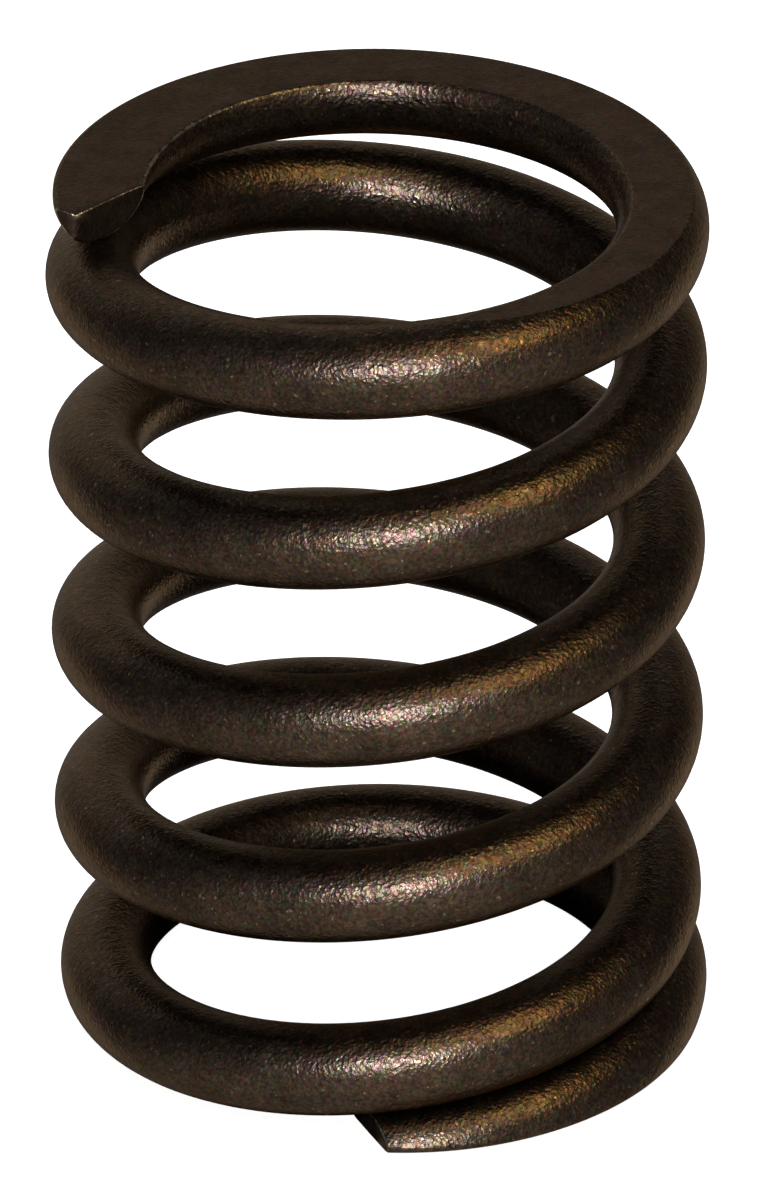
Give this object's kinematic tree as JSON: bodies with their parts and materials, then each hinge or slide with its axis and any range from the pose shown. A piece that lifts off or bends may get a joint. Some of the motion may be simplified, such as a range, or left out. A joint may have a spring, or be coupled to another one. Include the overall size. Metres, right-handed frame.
{
  "type": "valve spring",
  "caption": "Right-hand helical compression spring of round wire with closed and ground ends, which returns an engine valve to its seat.",
  "frame": {"origin": "on the axis of the coil, in the plane of the lower ground face", "axes": "+Z along the axis of the coil to the upper ground face; the lower wire tip lies at -Y"},
  "size_m": [0.0368, 0.037, 0.0508],
  "materials": {
    "spring_steel": "shot-peened and oil-darkened, matt"
  },
  "bodies": {
    "root": {"valve_spring": "spring_steel"}
  },
  "joints": []
}
